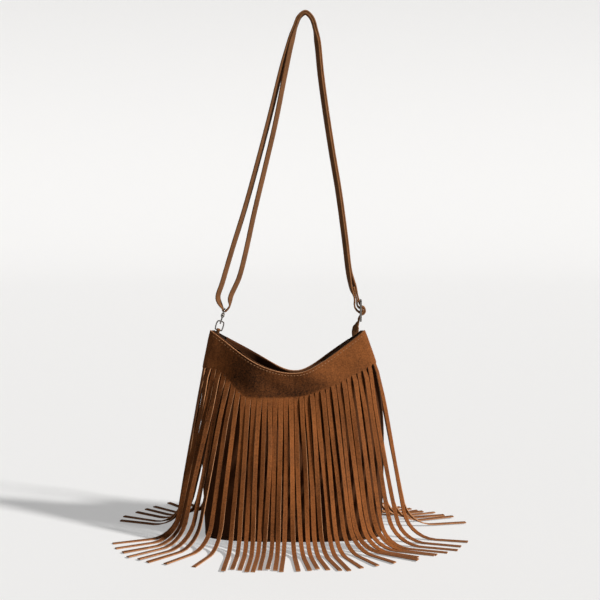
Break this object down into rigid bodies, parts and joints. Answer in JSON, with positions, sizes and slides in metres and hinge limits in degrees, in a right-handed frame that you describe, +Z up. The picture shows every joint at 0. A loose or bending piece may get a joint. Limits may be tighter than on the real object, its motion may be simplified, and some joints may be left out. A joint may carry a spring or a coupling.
{
  "type": "fringed suede shoulder bag",
  "caption": "Soft suede shoulder bag on a flat oval base, with a yoke cut into long strips all round and a doubled strap on a swivel hook and slider.",
  "frame": {"origin": "centre of the flat base's underside", "axes": "+Z up towards the strap, +X to the wearer's right in the front view, -Y out of the front"},
  "size_m": [0.4704, 0.3586, 0.6838],
  "materials": {
    "fringe_suede": "brushed suede nap",
    "body_suede": "brushed suede nap",
    "strap_suede": "suede strip with raw edges",
    "lining_cloth": "plain woven",
    "nickel": "dark nickel plate",
    "spring_steel": "drawn"
  },
  "bodies": {
    "bag": {"front_body_panel": "body_suede", "back_body_panel": "body_suede", "base_panel": "body_suede", "lining": "lining_cloth", "front_rim_facing": "fringe_suede", "back_rim_facing": "fringe_suede", "front_fringe_panel": "fringe_suede", "back_fringe_panel": "fringe_suede", "shoulder_strap": "strap_suede", "side_tab": "strap_suede", "swivel_eye": "nickel", "strap_slider": "nickel", "snap_socket": "nickel", "snap_stud": "nickel"},
    "ring": {"d_ring": "nickel"},
    "hook": {"hook_body": "nickel", "gate_pin": "spring_steel", "gate_spring": "spring_steel"},
    "gate": {"hook_gate": "nickel"}
  },
  "joints": [
    {"name": "ring_swing", "type": "hinge", "parent": "bag", "child": "ring", "pos_m": [-0.0984, 0, 0.2732], "axis": [0.9563, 0, -0.2924], "range_deg": [-8, 8]},
    {"name": "hook_swivel", "type": "hinge", "parent": "bag", "child": "hook", "pos_m": [-0.09299, 0, 0.29089], "axis": [0.2924, 0, 0.9563], "range_deg": [-30, 30]},
    {"name": "gate_open", "type": "hinge", "parent": "hook", "child": "gate", "pos_m": [-0.09311, 0.0043, 0.29051], "axis": [-0.9563, 0, 0.2924], "range_deg": [0, 24], "stiffness_Nm_per_rad": 0.02, "springref_deg": -20.05}
  ]
}
